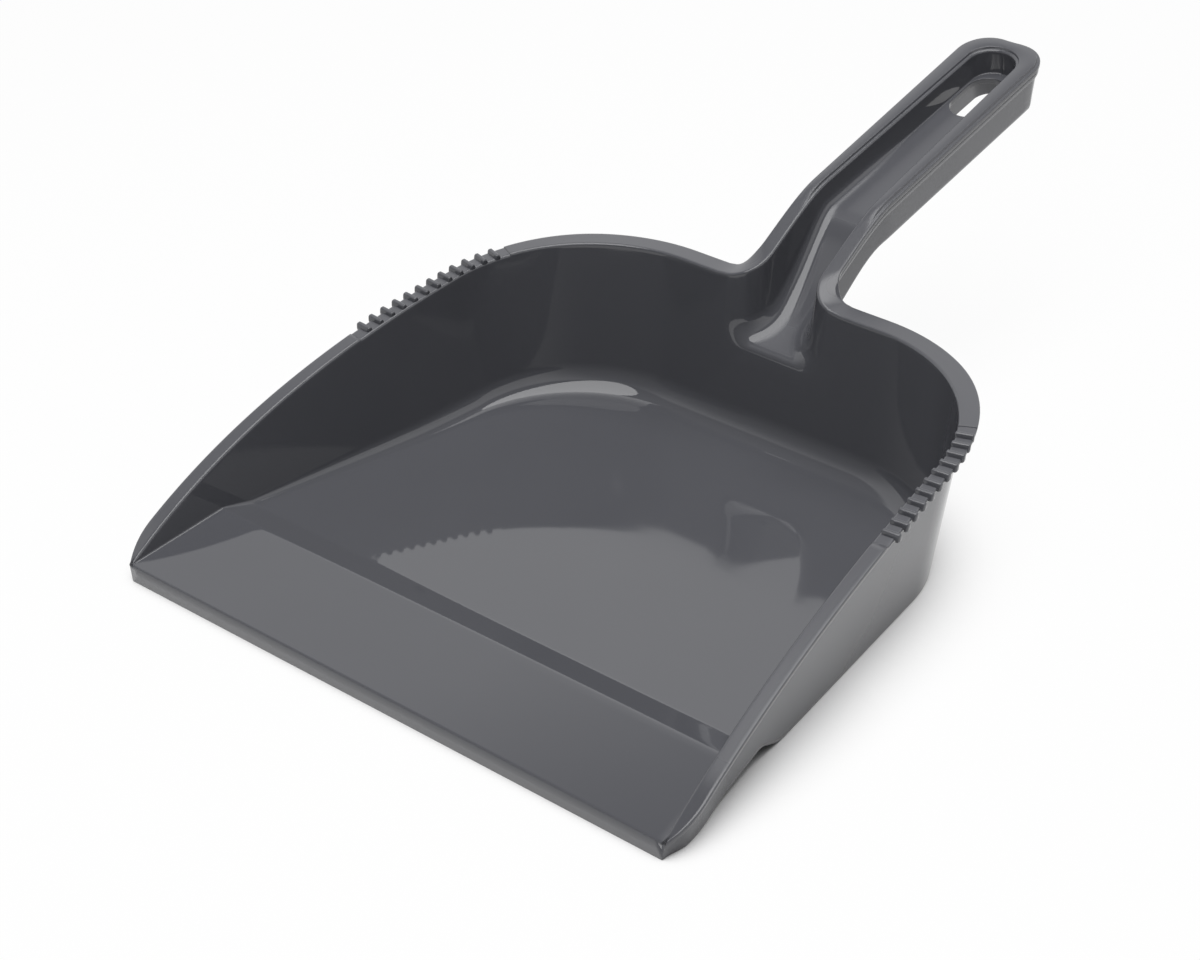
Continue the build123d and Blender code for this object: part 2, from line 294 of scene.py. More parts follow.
# %% [markdown]
# Beside the neck the rear rim leaves its level. It climbs in one sweep through the turn of the neck
# until it lies in the slanted plane of the handle. The height depends on the distance along the inner
# edge of the rim.

# %% The climb of the neck
neck_end, neck_height = 228.0, 74.2
slope = radians(11.5)
climb = tan(slope)
rear_run = neck_start - neck_half
turn_length = neck_radius * pi / 2
neck_length = rear_run + turn_length + neck_end - neck_y


def neck_rim(along):
    t = along / neck_length
    rise = (neck_height - rear_height) * (3 * t**2 - 2 * t**3)
    return rear_height + rise + neck_length * climb * (t**3 - t**2)


print("the rim climbs over", round(neck_length, 1), "mm")

# %% [markdown]
# Part of each side rim carries a comb. There the rim lies a little lower, as a bed for the teeth, and
# it drops into that bed with a small step at both ends. Distances along a comb are counted forward from
# its rear step, on the middle of the rim. Sections are added at the steps, so that these stay crisp.

# %% The beds of the combs
comb_rear = 159.1
tooth_pitch = 4.93
teeth_left, teeth_right = 12, 11
bed_depth, bed_step = 0.4, 0.3
rim_turn = corner_radius + rear_height * lean + rim_width / 2
comb_way = asin((comb_rear - corner_y) / rim_turn)


def rim_middle(along):
    """A point on the middle of the right rim, and the way out there, at a distance along the comb."""
    way = max(comb_way - along / rim_turn, side_taper)
    straight = along - (comb_way - way) * rim_turn
    x = corner_x + rim_turn * cos(way) + straight * sin(way)
    y = corner_y + rim_turn * sin(way) - straight * cos(way)
    return x, y, way


def along_comb(x, y):
    """The distance along the comb of a point near the rim."""
    way = max(atan2(y - corner_y, x - corner_x), side_taper)
    start = (corner_x + rim_turn * cos(side_taper), corner_y + rim_turn * sin(side_taper))
    straight = (x - start[0]) * sin(side_taper) - (y - start[1]) * cos(side_taper)
    return (comb_way - way) * rim_turn + max(straight, 0.0) * (way == side_taper)


def bed(along, teeth):
    """How far the rim is lowered at a distance along a comb."""
    end = (teeth + 1) * tooth_pitch
    return bed_depth * smooth(along, 0, bed_step) * (1 - smooth(along, end - bed_step, end))


def step_stops(edge, inwards):
    """Distances along the comb that draw one of its steps."""
    return [edge + inwards * d * bed_step for d in (-0.3, 0.0, 0.2, 0.4, 0.6, 0.8, 1.0, 1.3)]


front_stops = []
for teeth in (teeth_left, teeth_right):
    front_stops += [rim_middle(along) for along in step_stops((teeth + 1) * tooth_pitch, -1)]
rear_stops = [comb_way - along / rim_turn for along in step_stops(0, 1)]
print("right comb ends at", [round(v, 1) for v in rim_middle((teeth_right + 1) * tooth_pitch)[:2]])

# %% [markdown]
# All the places are now put in order, from the lip round the corner to the neck. The front steps of the
# combs lie on the straight side, where a section isn't quite square to the rim, so the place of such a
# section is found by trying a few times.


# %% All sections of the tray wall
def side_at(y):
    """The straight side's section whose rim lies at this distance from the lip."""
    guess = y
    for _ in range(12):
        foot, way, stretch, _y = side_station(guess)
        guess += y - (foot[1] + sin(way) * stretch * (rim_height(y) * lean + rim_width / 2))
    return guess


side_all = sorted([*side_stops, *(side_at(y) for x, y, way in front_stops)])
corner_all = sorted([*np.linspace(side_taper, pi / 2, 33)[1:], *rear_stops])
stations = [side_station(y) for y in side_all]
stations += [corner_station(way) for way in corner_all]
stations += [rear_station(x) for x in np.linspace(corner_x, mouth_side, 5)[1:]]
print(len(stations), "sections from the lip to the neck")

# %% [markdown]
# One section runs from the floor up the inner wall, over the rim, down the outer wall and back
# under the floor. The rim carries four more points for the raised band that only rises on the handle.
# Two marked points part the high stretch, which goes on into the neck, from the low one, which goes on
# across the rear.

# %% The section of the tray wall
flank_rows, fillet_steps, floor_rows = 4, 8, 4
skin_rows, heel_steps = 3, 4
band_inset, band_outset = 1.0, 1.15
collar_depth = 4.0
neck_split, under_split = 25.0, 24.0
HIGH_ROWS = flank_rows + fillet_steps // 2
OUT_ROWS = skin_rows + heel_steps // 2


def rim_corners(edge, top, width, slant, band, wall_at, rows, depth=rim_depth, collar=0.0):
    """Corners of the rim, from its inner edge over the band to the wall under its flange or its collar."""
    outer = edge + width
    step = 0.18
    flange = np.array([outer - depth * slant, top - depth])
    plain = np.array([wall_at, top - depth])
    proud = [
        flange + (-0.5, -0.25),
        flange + (-0.3, -0.55),
        flange + (-0.3 - slant * (collar_depth - depth), depth - collar_depth),
        plain + (-slant * (collar_depth - depth), depth - collar_depth),
    ]
    flat = [flange + (plain - flange) * f for f in (0.25, 0.5, 0.75, 1.0)]
    under = [f + (p - f) * collar for f, p in zip(flat, proud)]
    return [
        (edge, top, inner_rounding, 5, 0),
        (edge + band_inset, top, 0.1, 2, 0),
        (edge + band_inset + step, top + band, 0.2, 2, 1),
        (outer - band_outset - step, top + band, 0.2, 2, 0),
        (outer - band_outset, top, 0.1, 2, 0),
        (outer, top, edge_rounding, 4, 0),
        (*flange, 0.3, 3, 0),
        (*under[0], 0, 0, 0),
        (*under[1], 0.15 * collar, 2, 0),
        (*under[2], 0.3 * collar, 2, 0),
        (*under[3], 0.5, 3, rows),
    ]


def tray_section(y, top, drop, width, lowered, rise):
    """Points of one tray section as (outwards from the foot of the inner wall, up)."""
    low = floor_height(y) - drop
    under = 0.0 if y <= lip_depth else max(floor_height(y) - sheet, 0.0)
    foot = wall_foot(y)
    fillet = floor_fillet(y) * tan(radians(83) / 2)
    thick = wall_reach(y)
    inner = low * lean
    high = max(top - low, 0.0) / (rear_height - floor_level)
    split = low + (neck_split - floor_level) * high
    out_split = foot + (under_split - foot) * max(top - rim_depth - foot, 0.0) / (rear_height - rim_depth)
    flange = top + rise - rim_depth
    bed_top, depth = top + rise - lowered, rim_depth - lowered
    edge = bed_top * lean
    return rounded([
        (inner - fillet - 2.0, low, 0, 0, 0),
        (inner, low, fillet, 8, 3),
        (split * lean, split, 0, 0, HIGH_ROWS),
        *rim_corners(edge, bed_top, width, lean, 0.0, flange * lean + thick, OUT_ROWS, depth),
        (out_split * lean + thick, out_split, 0, 0, 3),
        (foot * lean + thick, foot, 0.4, 3, 0),
        (foot * lean, foot, 0.4, 3, 0),
        (under * lean, under, 0.4, 3, 0),
        (under * lean - 3.0, under, 0, 0, 0),
    ])


IN_SPLIT = 1 + 9 + 3
RIM_POINTS = 6 + 3 + 3 + 1 + 3 + 3 + 5 + 4 + 1 + 3 + 3 + 4
OUT_SPLIT = IN_SPLIT + HIGH_ROWS + RIM_POINTS + OUT_ROWS + 1


def place(station, teeth):
    """One tray section in space, on a side with this many teeth."""
    foot, way, stretch, y = station
    drop = lip_drop(y)
    top = rear_height
    for _ in range(6):
        top = float(rim_height(foot[1] + sin(way) * stretch * top * lean))
    turned = smooth(way, side_taper, radians(60))
    width = rim_reach(y) + (rear_rim_width - rim_width) * turned
    rise = neck_rim(max(neck_start - foot[0], 0.0)) - rear_height
    middle = (top * lean + width / 2) * stretch
    lowered = bed(along_comb(foot[0] + cos(way) * middle, foot[1] + sin(way) * middle), teeth)
    section = tray_section(y, max(top, lip_height) - drop, drop, width, lowered, rise)
    out = section[:, 0] * stretch
    return np.column_stack([foot[0] + cos(way) * out, foot[1] + sin(way) * out, section[:, 1]])


wall_grid = np.array([place(s, teeth_right) for s in stations])
left_wall_grid = np.array([place(s, teeth_left) for s in stations])
print("tray wall grid", wall_grid.shape[:2], "splits at", IN_SPLIT, OUT_SPLIT)

# %% [markdown]
# Below the mouth of the handle the rear wall goes on across the middle. Inside and outside have
# different numbers of columns there, because each has to match its own half of the neck.

# %% The wall under the mouth
in_columns = fillet_steps // 2 + floor_rows + 1
out_columns = heel_steps // 2 + 1 + 2 + 1 + 2 + floor_rows + 1
inside_wall = np.array([place(rear_station(x), 0) for x in np.linspace(mouth_side, 0, in_columns + 1)])
outside_wall = np.array([place(rear_station(x), 0) for x in np.linspace(mouth_side, 0, out_columns + 1)])
inside_wall = inside_wall[:, : IN_SPLIT + 1]
outside_wall = outside_wall[:, OUT_SPLIT:]
print("columns under the mouth:", in_columns, "inside and", out_columns, "outside")

# %% [markdown]
# The neck sweeps from the rear wall up into the handle. Its rim turns through a quarter circle in
# plan while it climbs, and its floor is a chute that pours into the tray over a rounded lip.
# The handle is a long channel with a thick rim, tilted up behind the neck.

# %% Sizes of the neck and the handle
mouth_z = 32.6
channel_half_end, channel_depth = 8.2, 8.6
channel_draft = tan(radians(5.0))
grip_half, grip_half_end = 14.9, 15.4
end_radius, grip_end_radius, end_rim = 8.0, 11.5, 7.0
skirt_depth, skirt_depth_end = 16.6, 17.1
ledge = 0.9
band_height = 0.8
slot_length, slot_width, slot_margin = 24.4, 13.8, 4.3
grip_length = (overall_length - neck_end - rim_depth * sin(slope)) / cos(slope)
channel_length = grip_length - end_rim
lip_of_mouth = tray_length - (rear_height - mouth_z) * lean


def chute(lower, end_drop, hold):
    """Side view of the chute floor, or of the lower edge of the neck."""
    run = neck_end - lip_of_mouth
    low, high = mouth_z - lower, neck_height - end_drop
    return bezier(
        (lip_of_mouth, low),
        (lip_of_mouth + 0.47 * run, low + 0.15 * (high - low)),
        (neck_end - hold * run, high - hold * run * climb),
        (neck_end, high),
    )


chute_line = chute(0, channel_depth / cos(slope), 0.2)
heel_line = chute(sheet, skirt_depth, 0.36)
end_height = neck_height + climb * (overall_length - neck_end)


def chute_height(y):
    if y > neck_end:
        return neck_height - channel_depth / cos(slope) + climb * (y - neck_end)
    return np.interp(y, chute_line[:, 0], chute_line[:, 1])


def heel_height(y):
    if y > neck_end:
        part = (y - neck_end) / (overall_length - neck_end)
        return neck_height - skirt_depth + (end_height - skirt_depth_end - neck_height + skirt_depth) * part
    return np.interp(y, heel_line[:, 0], heel_line[:, 1])


print("grip", round(grip_length, 1), "mm long, channel", round(channel_length, 1))

# %% [markdown]
# A section of the neck starts in the middle of the channel floor, climbs the flank, crosses the
# rim and comes back underneath. Depth is measured down from the rim, so one drawing serves the neck
# and the tilted handle.


# %% The section of the neck
def channel_section(edge, width, slant, floor, fillet, heel, thick, band, lead, collar=1.0):
    """Points of one section as (across from the inner edge of the rim, depth counted upwards)."""
    under = -(floor + sheet)
    heel_in = -heel * slant
    return rounded([
        (-edge, -floor, 0, 0, floor_rows),
        (-floor * slant, -floor, fillet, fillet_steps, flank_rows),
        *rim_corners(0.0, 0.0, width, slant, band, thick - rim_depth * slant, skin_rows, collar=collar),
        (thick - heel * (slant + lead), -heel, 0.6 + 1.4 * collar, heel_steps, 0),
        (heel_in, -heel, 0.5, 2, 0),
        (under * slant, under, 0.5, 2, floor_rows),
        (-edge, under, 0, 0, 0),
    ])


FLOOR_END = floor_rows + 1
FLANK_START = FLOOR_END + fillet_steps + 1
RIM_START = FLANK_START + flank_rows
HEEL_START = RIM_START + RIM_POINTS + skin_rows
UNDER_END = HEEL_START + heel_steps + 1 + 3 + 3
SECTION = UNDER_END + floor_rows + 1


def hold():
    """How much each point of a section follows the flank of the neck (1) or its floor (0)."""
    share = np.ones(SECTION)
    share[:FLOOR_END] = 0
    share[FLOOR_END:FLANK_START] = [smooth(t) for t in np.linspace(0, 1, fillet_steps + 1)]
    share[HEEL_START:UNDER_END] = [smooth(t) for t in np.linspace(1, 0, UNDER_END - HEEL_START)]
    share[UNDER_END:] = 0
    return share


follow = hold()
print("a neck section has", SECTION, "points")

# %% [markdown]
# Each section of the neck stands between matching points of the inner and the outer edge of its rim.
# Its flank leans in along the normal of the turn, and its floor runs straight across from the foot of
# the flank.

# %% A section of the neck in space
mouth_fillet, neck_fillet, slot_fillet = 7.0, 3.4, 0.5
neck_outer = 6.0
rim_half = grip_half + 0.3
outer_x = rim_half + neck_outer
outer_y = tray_length + rear_rim_width + neck_outer


def neck_section(inner, outer, turn, along, tilt=0.0, band=0.0):
    """The points of one section. Turn is the way of the flank, and tilt leans it back with the handle."""
    inner, outer = np.array(inner), np.array(outer)
    width = np.hypot(*(outer - inner))
    reach = (outer - inner) / width
    normal = np.array([sin(turn), cos(turn)])
    top = neck_rim(along)
    edge_rise = neck_rim(along + (outer - inner)[1] * normal[0] ** 2) - top
    share = max(along - rear_run, 0.0) / (neck_length - rear_run)
    slant = lean + (channel_draft - lean) * share
    thick = wall + (grip_half - channel_half - ledge - wall) * share
    fillet = mouth_fillet + (neck_fillet - mouth_fillet) * share
    collar = smooth(along, rear_run, rear_run + turn_length)
    floor, heel = channel_depth, skirt_depth
    for _ in range(12):
        floor = (top - chute_height(inner[1] + floor * (sin(tilt) - normal[1] * slant))) / cos(tilt)
        heel = (top - heel_height(inner[1] + heel * (sin(tilt) - normal[1] * slant))) / cos(tilt)
    edge = inner[0] + slant * floor * (1 - normal[0])
    section = channel_section(edge, width, slant, floor, fillet, heel, thick, band, 0.0, collar)
    across, depth = section.T
    beyond = across - slant * depth
    way = np.where(beyond[:, None] < 0, (1.0, 0.0), reach)
    plan = inner + normal * (slant * depth)[:, None] + way * beyond[:, None]
    near_rim = np.array([smooth(d, -9.0, -2.0) for d in depth])
    z = top + depth * cos(tilt) + edge_rise * np.clip(beyond / width, 0, 1) * near_rim
    plan[[0, -1], 0] = 0.0
    return np.column_stack([plan[:, 0], plan[:, 1] - depth * sin(tilt), z])


print("outer edge of the neck turns about", round(outer_x, 1), round(outer_y, 1))

# %% [markdown]
# First the trumpet: sections turn from the plane of the rear wall into the neck. Drawn like this the
# chute would meet the wall in a sharp lip, so the floor of the first sections is moved onto an arc over
# that lip, and the underside onto an arc in the corner below. Both fade out through the fillet beside
# the floor.

# %% The trumpet of the mouth
lip_roll, under_roll = 2.8, 3.0
lip_steps, under_steps = 6, 8
flare_steps = 14
chute_rise = (chute_line[1, 1] - chute_line[0, 1]) / (chute_line[1, 0] - chute_line[0, 0])
up_wall = np.array([lean, 1.0]) / np.hypot(lean, 1.0)
up_chute = np.array([1.0, chute_rise]) / np.hypot(1.0, chute_rise)
under_corner = (lip_of_mouth - sheet * lean + wall, mouth_z - sheet)
lip_arc = arc(np.array([lip_of_mouth, mouth_z]), up_wall, up_chute, lip_roll, lip_steps)
under_arc = arc(np.array(under_corner), up_wall, up_chute, under_roll, under_steps)


def trumpet(step):
    turn = pi / 2 * step / flare_steps
    along = rear_run + neck_radius * turn
    radius = neck_radius - (neck_rim(along) - rear_height) * lean * cos(turn)
    inner = (neck_half - radius * sin(turn), neck_y - radius * cos(turn))
    outer = (outer_x - neck_outer * sin(turn), outer_y - neck_outer * cos(turn))
    points = neck_section(inner, outer, turn, along)
    rolled = (1 - follow)[:, None]
    if step <= lip_steps:
        points[:RIM_START, 1:] += rolled[:RIM_START] * (lip_arc[step] - points[0, 1:])
    if step <= under_steps:
        points[HEEL_START:, 1:] += rolled[HEEL_START:] * (under_arc[step] - points[-1, 1:])
    return points


flare = [trumpet(step) for step in range(flare_steps + 1)]
print(len(flare), "sections in the trumpet")

# %% [markdown]
# Behind the trumpet the sections tilt until they stand square to the handle. On the handle the raised
# band has grown to its full height, and the rim stands on a collar that is parted from it by a fine groove.

# %% The neck and the straight grip
neck_steps, grip_steps = 12, 22


def straight_neck(part):
    y = neck_y + (neck_end - neck_y) * part
    inner = (channel_half, y)
    outer = (rim_half + (grip_half - rim_half) * part, outer_y + (neck_end - outer_y) * part)
    band = band_height * smooth(y, 216.5, 221.0)
    return neck_section(inner, outer, pi / 2, rear_run + turn_length + y - neck_y, slope * smooth(part), band)


def grip_section(inner, outer, fillet, lead):
    """A section of the handle between matching points of the inner and outer edge of its rim."""
    inner, outer = np.array(inner), np.array(outer)
    width = np.hypot(*(outer - inner))
    way = (outer - inner) / width
    height = neck_height + inner[1] * sin(slope)
    y = neck_end + inner[1] * cos(slope)
    heel = skirt_depth
    for _ in range(8):
        heel = (height - heel_height(min(y + heel * sin(slope), overall_length))) / cos(slope)
    edge = inner[0] / max(way[0], 0.2)
    section = channel_section(
        edge, width, channel_draft, channel_depth, fillet, heel, width - ledge, band_height, lead
    )
    across, depth = section.T
    along = inner[1] + way[1] * across
    return np.column_stack([
        inner[0] + way[0] * across,
        neck_end + along * cos(slope) - depth * sin(slope),
        neck_height + along * sin(slope) + depth * cos(slope),
    ])


def grip(part):
    """A section of the straight grip."""
    inner_y = (channel_length - end_radius) * part
    outer_y = (grip_length - grip_end_radius) * part
    inner_x = channel_half + (channel_half_end - channel_half) * inner_y / channel_length
    outer_x = grip_half + (grip_half_end - grip_half) * outer_y / grip_length
    fillet = neck_fillet + (slot_fillet - neck_fillet) * smooth(part, 0.2, 0.6)
    return grip_section((inner_x, inner_y), (outer_x, outer_y), fillet, 0.0)


neck = [straight_neck(part) for part in np.linspace(0, 1, neck_steps + 1)[1:]]
grips = [grip(part) for part in np.linspace(0, 1, grip_steps + 1)[1:]]
print(len(neck), "sections in the neck and", len(grips), "along the grip")

# %% [markdown]
# The handle closes in a round end. The inner and the outer edge of the rim are two arcs with
# different radii, taken at the same angles. Its outer wall stands upright there.

# %% The round end of the handle
end_steps = 14
upright = climb


def end_centre(half, half_end, length, radius):
    """Centre of the arc that rounds one end corner of the handle."""
    along = length - radius
    return half + (half_end - half) * along / length - radius, along


end_inner = end_centre(channel_half, channel_half_end, channel_length, end_radius)
end_outer = end_centre(grip_half, grip_half_end, grip_length, grip_end_radius)


def end_section(angle):
    inner = (end_inner[0] + end_radius * cos(angle), end_inner[1] + end_radius * sin(angle))
    outer = (end_outer[0] + grip_end_radius * cos(angle), end_outer[1] + grip_end_radius * sin(angle))
    return grip_section(inner, outer, slot_fillet, upright * sin(angle))


def middle_section(part):
    """Sections across the straight stretch at the very end."""
    inner = (end_inner[0] * (1 - part), channel_length)
    outer = (end_outer[0] * (1 - part), grip_length)
    return grip_section(inner, outer, slot_fillet, upright)


ends = [end_section(angle) for angle in np.linspace(0, pi / 2, end_steps + 1)[1:]]
ends += [middle_section(part) for part in (0.5, 1.0)]
print(len(ends), "sections round the end")

# %% [markdown]
# Now the grids are joined. The faces are listed for the right half: quads between neighbouring sections,
# and flat many-sided faces where the floor is level. The left half has the same faces on its own points,
# because its comb has one tooth more. Points that fall on each other are merged, so that the skin is closed.

# %% A skin of quads
skin_points, left_points, skin_faces = [], [], []


def add_grid(grid, left_grid=None):
    """Quads between the rows of a grid of points, which may differ on the left half."""
    grid = np.asarray(grid)
    first = len(skin_points)
    skin_points.extend(grid.reshape(-1, 3))
    left_points.extend((grid if left_grid is None else left_grid).reshape(-1, 3))
    rows, columns = grid.shape[:2]
    for i in range(rows - 1):
        for j in range(columns - 1):
            a = first + i * columns + j
            skin_faces.append((a, a + 1, a + columns + 1, a + columns))


def add_face(loop):
    """One flat face through a loop of points."""
    first = len(skin_points)
    skin_points.extend(loop)
    left_points.extend(loop)
    skin_faces.append(tuple(range(first, first + len(loop))))


def add_spans(edge, columns=9):
    """Rows from each point of an edge straight across to the middle."""
    rows = []
    for x, y, z in edge:
        rows.append([(x * (1 - f), y, z) for f in np.linspace(0, 1, columns)])
    add_grid(rows)
    return np.array(rows)


add_grid(wall_grid, left_wall_grid)
add_grid(inside_wall)
add_grid(outside_wall)
last = wall_grid[-1]
first_ring = np.concatenate([
    inside_wall[::-1, IN_SPLIT],
    last[IN_SPLIT + 1 : OUT_SPLIT],
    outside_wall[:, 0],
])
print("first neck ring", len(first_ring), "against", SECTION)

# %% [markdown]
# The channel floor runs to the middle only as far as the hanging slot. From there on the floor is a flat
# panel with the slot cut through it, on top and underneath. The slot's edges are eased a little.

# %% Neck, handle and slot
rings = [first_ring, *flare, *neck, *grips, *ends]
slot_rear = channel_length - slot_margin
slot_front = slot_rear - slot_length
panel_lead = 8.0
panel_part = (slot_front - panel_lead) / (channel_length - end_radius)
panel_ring = 1 + len(flare) + len(neck) + int(panel_part * grip_steps) - 1
add_grid(rings[: panel_ring + 1])
add_grid([r[FLOOR_END:UNDER_END] for r in rings[panel_ring:]])


def on_grip(x, along, depth):
    """A point of the handle from its place on the slanted rim plane."""
    return np.array([
        x,
        neck_end + along * cos(slope) + depth * sin(slope),
        neck_height + along * sin(slope) - depth * cos(slope),
    ])


def slot_outline(grow, depth, steps=12):
    """Half of the slot's outline, from its rear end round to its front end."""
    radius = slot_width / 2
    points = []
    for angle in np.linspace(pi / 2, 0, steps + 1):
        points.append((radius + grow) * np.array([cos(angle), sin(angle)]) + (0, slot_rear - radius))
    for angle in np.linspace(0, -pi / 2, steps + 1):
        points.append((radius + grow) * np.array([cos(angle), sin(angle)]) + (0, slot_front + radius))
    return np.array([on_grip(x, along, depth) for x, along in points])


def panel(ring_floor, edges, grow, depth):
    """Flat floor round the slot, bounded by the last full section and the foot of the walls."""
    add_face([*ring_floor, *edges, *slot_outline(grow, depth)])


slot_edge, slot_flare = 0.25, 0.4
top_edges = [r[FLOOR_END] for r in rings[panel_ring:]]
low_edges = [r[UNDER_END - 1] for r in rings[panel_ring:]]
panel(rings[panel_ring][:FLOOR_END], top_edges, slot_edge, channel_depth)
panel(rings[panel_ring][UNDER_END:][::-1], low_edges, slot_flare, channel_depth + sheet)
slot_profile = rounded([
    (slot_edge, channel_depth, 0, 0, 0),
    (0, channel_depth, slot_edge, 4, 2),
    (0, channel_depth + sheet, slot_flare, 4, 0),
    (slot_flare, channel_depth + sheet, 0, 0, 0),
])
add_grid([slot_outline(grow, depth) for grow, depth in slot_profile])
print("slot", slot_length, "by", slot_width, "mm, panel from section", panel_ring)

# %% [markdown]
# The lip, the ramp and the hollow floor are rows straight across the tray. Where the floor has become
# level, one face fills the rest of it. The front of the lip closes the skin.

# %% Ramp, floor and lip
hollow = sum(1 for foot, way, stretch, y in stations if y <= floor_rear + 1)
floor_spans = add_spans(wall_grid[:hollow, 0])
under_spans = add_spans(wall_grid[:hollow, -1])
add_face([*floor_spans[-1][::-1], *wall_grid[hollow:, 0], *inside_wall[1:, 0]])
add_face([*under_spans[-1][::-1], *wall_grid[hollow:, -1], *outside_wall[1:, -1]])
add_face([*floor_spans[0][::-1], *wall_grid[0][1:-1], *under_spans[0]])
print(len(skin_points), "points before merging")

# %% [markdown]
# A Mirror modifier would make both halves the same, so the left half is flipped here in the list of points.
# The merge closes the middle and the joints between the grids, and the count of open edges shows it.


# %% Mirror, merge and shade
def skin_mesh(name, right, left, faces):
    """A mesh from two halves of a skin: the left one mirrored, both merged, and the faces outwards."""
    mesh = bpy.data.meshes.new(name)
    half = bmesh.new()
    made = [half.verts.new(p) for p in to_frame(right)]
    flipped = [half.verts.new((-x, y, z)) for x, y, z in to_frame(left)]
    for face in faces:
        half.faces.new([made[i] for i in face])
        half.faces.new([flipped[i] for i in reversed(face)])
    bmesh.ops.remove_doubles(half, verts=half.verts, dist=2e-6)
    bmesh.ops.dissolve_degenerate(half, edges=half.edges, dist=1e-6)
    bmesh.ops.recalc_face_normals(half, faces=half.faces)
    for face in half.faces:
        face.smooth = True
    open_edges = sum(1 for e in half.edges if len(e.link_faces) != 2)
    volume = round(half.calc_volume() * 1e6, 1)
    print(name, len(half.faces), "faces,", open_edges, "open edges, volume", volume, "cm3")
    half.to_mesh(mesh)
    half.free()
    return mesh


def show(name, mesh):
    piece = bpy.data.objects.new(name, mesh)
    bpy.context.scene.collection.objects.link(piece)
    return piece


moulding = show("dustpan_moulding", skin_mesh("dustpan_moulding", skin_points, left_points, skin_faces))

# %% [markdown]
# The comb teeth are small saddles across the side rims, which scrape fluff off a brush. Seen along the
# rim a tooth is a low ridge with a rounded back. Its inner end stands a little proud of the wall, and
# its outer end folds down over the edge of the flange. One tooth is drawn, and Geometry Nodes set it
# along the rim.

# %% One tooth
tooth_height = 0.9
tooth_base, tooth_crown = 2.3, 1.25


def ridge():
    """Half of a tooth seen along the rim, from its foot to its crown: (distance from its middle, height)."""
    outline = rounded([
        (tooth_base / 2, -bed_depth - 0.3, 0, 0, 0),
        (tooth_base / 2 - 0.05, -bed_depth, 0.2, 3, 0),
        (tooth_crown / 2, tooth_height, 0.42, 6, 0),
        (0, tooth_height, 0, 0, 0),
    ])
    return [*outline, *((-d, h) for d, h in outline[-2::-1])]


def saddle(height):
    """A tooth seen from its side, at one height: (outwards from the middle of the rim, up)."""
    inset = 0.25 * (tooth_height - height) / (tooth_height + bed_depth)
    inner, outer = -rim_width / 2 - 0.4 + inset, rim_width / 2 + 0.35 - inset
    over = rounded([
        (inner + 0.7, -1.7, 0, 0, 0),
        (inner, -1.1, 0.2, 2, 0),
        (inner, height, 0.45, 5, 2),
        (outer, height, 0.6, 5, 0),
        (outer - 0.1, -1.5, 0.2, 3, 0),
        (outer - 0.9, -1.5, 0, 0, 0),
    ])
    return [*over, (outer - 0.9, -0.9), (inner + 0.7, -0.9)]


def tooth_mesh():
    """A closed tooth: x outwards from the middle of the rim, y along it."""
    grid = np.array([[(x, along, z) for x, z in saddle(height)] for along, height in ridge()]) * MM
    mesh = bpy.data.meshes.new("comb_tooth")
    shape = bmesh.new()
    made = [[shape.verts.new(p) for p in row] for row in grid]
    for one, two in zip(made, made[1:]):
        for j in range(len(one)):
            k = (j + 1) % len(one)
            shape.faces.new((one[j], one[k], two[k], two[j]))
    shape.faces.new(made[0])
    shape.faces.new(made[-1])
    bmesh.ops.recalc_face_normals(shape, faces=shape.faces)
    for face in shape.faces:
        face.smooth = True
    shape.to_mesh(mesh)
    shape.free()
    return mesh


tooth = bpy.data.objects.new("comb_tooth", tooth_mesh())
print("a tooth has", len(tooth.data.polygons), "faces")


# %% The line that a comb follows
def comb_line(name, side, count):
    """A curve along the rim from the first tooth of a comb to its last."""
    points = []
    for along in np.linspace(tooth_pitch, count * tooth_pitch, 4 * count):
        x, y, way = rim_middle(along)
        points.append((side * x, y, rim_height(y - rim_width / 2 * sin(way))))
    curve = bpy.data.curves.new(name, "CURVE")
    curve.dimensions = "3D"
    spline = curve.splines.new("POLY")
    spline.points.add(len(points) - 1)
    for point, spot in zip(spline.points, to_frame(points)):
        point.co = (*spot, 1)
    return show(name, curve)


print("first teeth at", [round(v, 1) for v in rim_middle(tooth_pitch)[:2]])

# %% [markdown]
# The node tree spaces points evenly along the line, turns each one so that its y axis follows the
# line and its z axis stays up, and puts a tooth on it. The result is made real, because instances
# would be lost later.

# %% The comb's node tree
UP = Vector((0, 0, 1))


